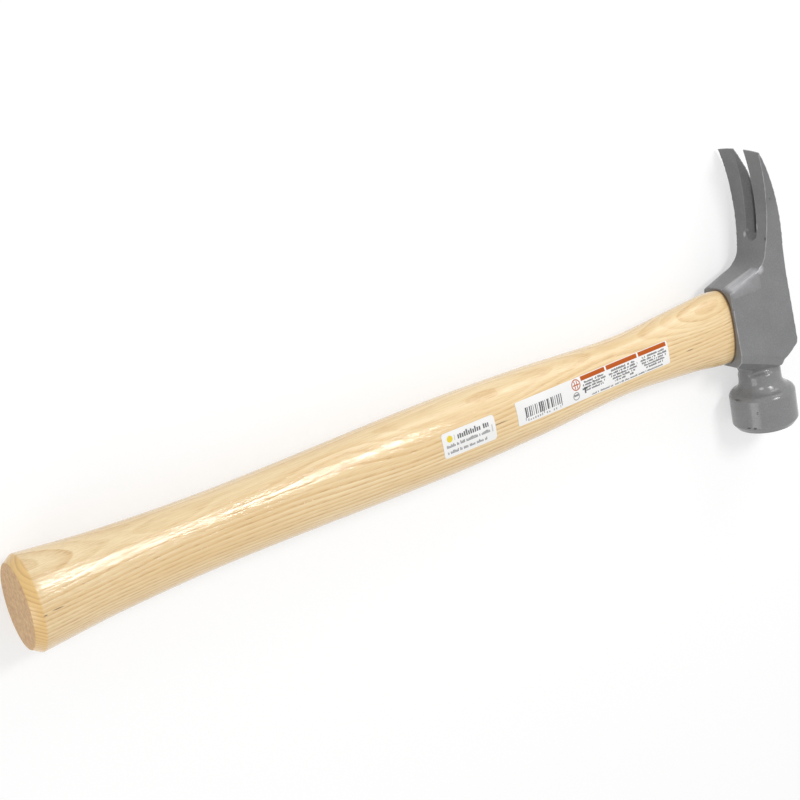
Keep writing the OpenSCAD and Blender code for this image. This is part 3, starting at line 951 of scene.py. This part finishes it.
# Where the softening and the tips' round begin and how far on they are full, in
# millimetres as on_head measures them
SHOULDER_TOP = 32
SHOULDER_FOOT = (9, 3)
SHOULDER_OUT = (4.5, 2)
SHOULDER_RIM = (-0.3, 1.5)
SHOULDER_FAR = (-22.5, 4)
NECK_UPPER = (27.5, 2.5)
NECK_LOWER = (-40, 3)
NECK_SLANT = 0.5
NECK_SLANT_START = 22
TIP_NEAR = (77, 13)
TIP_OUTER = (3, 12)
TIP_ROUND = 0.9


def on_head(point):
    """Distances in millimetres: past the rim, up from the handle's axis, out from the middle."""
    return ((point.x - RIM) / MM, (point.y - AXIS_Y) / MM, (point.z - HEAD_MIDDLE) / MM)


def ease(value, start, length):
    """0 at the start and 1 a length further on."""
    return (value - start) / length


def shoulder_weight(run, up, out):
    """The two long edges of the shoulder, which are well rounded."""
    if not SHOULDER_FOOT[0] < up < SHOULDER_TOP:
        return 0
    return min(1, ease(abs(out), *SHOULDER_OUT), ease(-run, *SHOULDER_FAR),
               ease(run, *SHOULDER_RIM), ease(up, *SHOULDER_FOOT))


def neck_weight(run, up, _):
    """Where the bevels of the cheeks run out in the neck."""
    down = -up + NECK_SLANT * max(0, run - NECK_SLANT_START)
    return min(1, ease(down, *NECK_UPPER), ease(-down, *NECK_LOWER))


def soften(head, weight, passes):
    """Smooths the head's points, each as far as its weight says."""
    group = head.vertex_groups.new(name="soft")
    for vertex in head.data.vertices:
        share = weight(*on_head(vertex.co))
        if share > 0:
            group.add([vertex.index], share, "REPLACE")
    modifier(head, "SMOOTH", factor=SMOOTHING, iterations=passes, vertex_group="soft")
    head.vertex_groups.clear()


def round_claw_tips(head):
    """Draws the outer corners of the claw's tips back along an arc."""
    for vertex in head.data.vertices:
        _, up, out = on_head(vertex.co)
        near_tip = ease(up, *TIP_NEAR)
        outer = ease(abs(out), *TIP_OUTER)
        if near_tip > 0 and outer > 0:
            vertex.co.y -= TIP_ROUND * (near_tip * outer) ** 2 * MM


def mark_arrises(head):
    """Stores how sharply the surface turns away at each point, as the attribute "arris"."""
    points = head.data.vertices
    lean = [0.0] * len(points)
    count = [0] * len(points)
    for edge in head.data.edges:
        a, b = edge.vertices
        way = (points[b].co - points[a].co).normalized()
        lean[a] -= way.dot(points[a].normal)
        lean[b] += way.dot(points[b].normal)
        count[a] += 1
        count[b] += 1
    arris = head.data.attributes.new("arris", "FLOAT", "POINT")
    arris.data.foreach_set("value", [turn / n for turn, n in zip(lean, count)])


def head_solid():
    """A copy of the head's solid with its loose triangles merged."""
    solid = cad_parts["hammer_head"].data.copy()
    solid.materials.clear()
    head = bpy.data.objects.new("forged_head", solid)
    bpy.context.scene.collection.objects.link(head)
    edit(head)
    bpy.ops.mesh.select_all(action="SELECT")
    bpy.ops.mesh.remove_doubles(threshold=DOUBLES * MM)
    bpy.ops.mesh.normals_make_consistent(inside=False)
    done()
    return head


def root_scoop():
    """A flattened ball that scoops out the root of the claw's slot."""
    bpy.ops.mesh.primitive_uv_sphere_add(
        segments=ROOT_SCOOP_SIDES, ring_count=ROOT_SCOOP_SIDES // 2,
        radius=ROOT_SCOOP_RADIUS * MM,
        location=(ROOT_SCOOP[0] * MM, ROOT_SCOOP[1] * MM, HEAD_MIDDLE))
    scoop = named("root_scoop")
    scoop.scale.z = ROOT_SCOOP_WIDTH
    settle(scoop)
    return scoop


def neck_cove():
    """A cone that fills the corner between the neck and the cheeks."""
    bpy.ops.mesh.primitive_cone_add(
        vertices=COVE_SIDES, radius1=COVE_NARROW * MM, radius2=COVE_WIDE * MM,
        depth=(COVE_HIGH - COVE_LOW) * MM, rotation=(math.pi / 2, 0, 0),
        location=(COVE_AXIS * MM, HEAD_LOW.y + (COVE_LOW + COVE_HIGH) / 2 * MM, HEAD_MIDDLE))
    cove = named("neck_cove")
    settle(cove)
    return cove


def make_head():
    """The head's solid, remeshed finely so that its edges take the soft radius of enamel
    over a forging."""
    head = head_solid()
    combine(head, root_scoop(), "DIFFERENCE")
    combine(head, neck_cove(), "UNION")
    modifier(head, "REMESH", mode="VOXEL", voxel_size=HEAD_GRAIN * MM, adaptivity=0)
    modifier(head, "SMOOTH", factor=SMOOTHING, iterations=SOFT_EDGE_PASSES)
    soften(head, shoulder_weight, SHOULDER_PASSES)
    soften(head, neck_weight, NECK_PASSES)
    round_claw_tips(head)
    modifier(head, "DECIMATE", ratio=HEAD_KEPT)
    mark_arrises(head)
    only(head)
    bpy.ops.object.shade_smooth()
    head.data.materials.append(grey_enamel())
    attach(head, "root")
    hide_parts("hammer_head")


# ---------------------------------------------------------------- the labels

# In millimetres: the grid's cells, the film's thickness, its gap to the wood, how far above
# the wood it starts, and the radius of the corners
LABEL_CELL = 0.6
LABEL_THICK = 0.12
LABEL_LIFT = 0.03
LABEL_DROP = 20
LABEL_CREASE = math.radians(40)
LONG_CORNER = 0.8
SMALL_CORNER = 1.6


def make_label(node, size, corner, finish, handle):
    """A flat grid with round corners, laid on the wood and given the film's thickness."""
    low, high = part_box(node)
    middle = (low + high) / 2
    length, height = size
    bpy.ops.mesh.primitive_grid_add(x_subdivisions=round(length / LABEL_CELL),
                                    y_subdivisions=round(height / LABEL_CELL), size=1,
                                    location=(middle.x, middle.y, high.z + LABEL_DROP * MM))
    label = named(node + "_film")
    label.scale = (length * MM, height * MM, 1)
    settle(label)
    round_corners(label, middle, size, corner)
    modifier(label, "SHRINKWRAP", wrap_method="PROJECT", use_project_z=True,
             use_negative_direction=True, use_positive_direction=False, target=handle,
             wrap_mode="ABOVE_SURFACE", offset=LABEL_LIFT * MM)
    modifier(label, "SOLIDIFY", thickness=LABEL_THICK * MM, offset=1)
    only(label)
    bpy.ops.object.shade_smooth_by_angle(angle=LABEL_CREASE)
    label.data.materials.append(finish)
    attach(label, "root")
    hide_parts(node)


def round_corners(label, middle, size, radius):
    """Draws the points outside each corner's arc in to it."""
    inner_x = size[0] / 2 - radius
    inner_y = size[1] / 2 - radius
    for vertex in label.data.vertices:
        x = (vertex.co.x - middle.x) / MM
        y = (vertex.co.y - middle.y) / MM
        over_x, over_y = abs(x) - inner_x, abs(y) - inner_y
        if over_x <= 0 or over_y <= 0:
            continue
        share = max(over_x, over_y) / math.hypot(over_x, over_y)
        vertex.co.x = middle.x + math.copysign(inner_x + over_x * share, x) * MM
        vertex.co.y = middle.y + math.copysign(inner_y + over_y * share, y) * MM


# ---------------------------------------------------------------- the room

# What the camera is turned to and how far from it, in metres, its angles in degrees, and its
# lens and sensor in millimetres
CAMERA_TARGET = (-0.0169, 0.01337, 0.0182)
CAMERA_AZIMUTH = 147.12
CAMERA_ELEVATION = 55.51
CAMERA_ROLL = 107.02
CAMERA_DISTANCE = 0.9936
CAMERA_LENS = 91.84
CAMERA_SENSOR = 36


def direction(azimuth, elevation):
    """The unit vector at two angles in degrees."""
    a, e = math.radians(azimuth), math.radians(elevation)
    return Vector((math.cos(e) * math.cos(a), math.cos(e) * math.sin(a), math.sin(e)))


def make_camera():
    """A long lens that looks down at the hammer's middle, rolled so that the head is at
    the upper right."""
    data = bpy.data.cameras.new("camera")
    data.lens = CAMERA_LENS
    data.sensor_width = CAMERA_SENSOR
    camera = bpy.data.objects.new("camera", data)
    back = direction(CAMERA_AZIMUTH, CAMERA_ELEVATION)
    turn = back.to_track_quat("Z", "Y").to_matrix()
    turn = turn @ Matrix.Rotation(math.radians(CAMERA_ROLL), 3, "Z")
    camera.matrix_world = Matrix.LocRotScale(
        Vector(CAMERA_TARGET) + back * CAMERA_DISTANCE, turn, None)
    bpy.context.scene.collection.objects.link(camera)
    bpy.context.scene.camera = camera


def soft_light(name, place, aim, along, size, radiance):
    """A soft box at a place, facing another, its long side along a third direction. Its
    power follows from its radiance and area."""
    data = bpy.data.lights.new(name, "AREA")
    data.shape = "RECTANGLE"
    data.size, data.size_y = size
    data.energy = radiance * math.pi * size[0] * size[1]
    light = bpy.data.objects.new(name, data)
    back = (Vector(place) - Vector(aim)).normalized()
    side = Vector(along) - back * back.dot(Vector(along))
    side.normalize()
    turn = Matrix((side, back.cross(side), back)).transposed()
    light.matrix_world = Matrix.LocRotScale(Vector(place), turn, None)
    bpy.context.scene.collection.objects.link(light)


def seen_directly(nodes, links):
    """1 for rays that come straight from the camera, or by way of gloss or glass."""
    rays = nodes.new("ShaderNodeLightPath")
    total = rays.outputs["Is Camera Ray"]
    for name in ("Is Glossy Ray", "Is Transmission Ray"):
        either = nodes.new("ShaderNodeMath")
        either.operation = "MAXIMUM"
        links.new(total, either.inputs[0])
        links.new(rays.outputs[name], either.inputs[1])
        total = either.outputs[0]
    return total


# How bright the room is as a light, and how white it looks
ROOM_LIGHT = 0.61
ROOM_SEEN = 1.0
# The floor is white to the light it throws back. Seen, it is greyer with a glow of its
# own, so that it meets the white room and still shows the shadow.
FLOOR_SIZE = 6.0
FLOOR_WHITE = (0.86, 0.86, 0.86)
FLOOR_SEEN = (0.45, 0.45, 0.45)
FLOOR_GLOW = 0.57
FLOOR_ROUGHNESS = 0.9
WHITE = (1, 1, 1, 1)


def make_room():
    """White surroundings and a white floor that keeps a faint shadow."""
    world = bpy.data.worlds.new("room")
    bpy.context.scene.world = world
    world.use_nodes = True
    nodes, links = world.node_tree.nodes, world.node_tree.links
    background = nodes["Background"]
    background.inputs["Color"].default_value = WHITE
    strength = nodes.new("ShaderNodeMapRange")
    links.new(seen_directly(nodes, links), strength.inputs["Value"])
    strength.inputs["To Min"].default_value = ROOM_LIGHT
    strength.inputs["To Max"].default_value = ROOM_SEEN
    links.new(strength.outputs[0], background.inputs["Strength"])

    bpy.ops.mesh.primitive_plane_add(size=FLOOR_SIZE, location=(0, 0, 0))
    floor = named("floor")
    paint = Paint("pale_floor")
    seen = seen_directly(paint.nodes, paint.links)
    paint.shader.inputs["Emission Color"].default_value = WHITE
    paint.put(paint.times(seen, FLOOR_GLOW), paint.shader.inputs["Emission Strength"])
    paint.colour = paint.mix(seen, FLOOR_WHITE, FLOOR_SEEN)
    floor.data.materials.append(paint.finish(FLOOR_ROUGHNESS, Specular_IOR_Level=0.0))


# ---------------------------------------------------------------- the hammer on its floor

make_camera()
make_room()
soft_light("key", place=(0.31, 0.385, 0.88), aim=(-0.08, 0, 0.03), along=(0.86, 0.51, 0),
           size=(0.34, 0.18), radiance=20.0)
soft_light("side", place=(0.70, 0.95, 0.50), aim=(0.1, 0, 0.02), along=(0.8, -0.6, 0),
           size=(0.6, 0.35), radiance=2.7)
soft_light("butt", place=(-1.15, -0.42, 0.40), aim=(0, 0, 0.02), along=(0, 1, 0),
           size=(0.5, 0.7), radiance=2.6)
bpy.context.scene.view_settings.view_transform = "Standard"

handle = make_handle()
make_head()
make_label("long_label", LONG_LABEL, LONG_CORNER, long_print(), handle)
make_label("small_label", SMALL_LABEL, SMALL_CORNER, small_print(), handle)
for node, finish in (("wood_wedge", wedge_wood()), ("steel_wedge_upper", wedge_steel()),
                     ("steel_wedge_lower", wedge_steel())):
    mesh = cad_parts[node].data
    mesh.materials.clear()
    mesh.materials.append(finish)
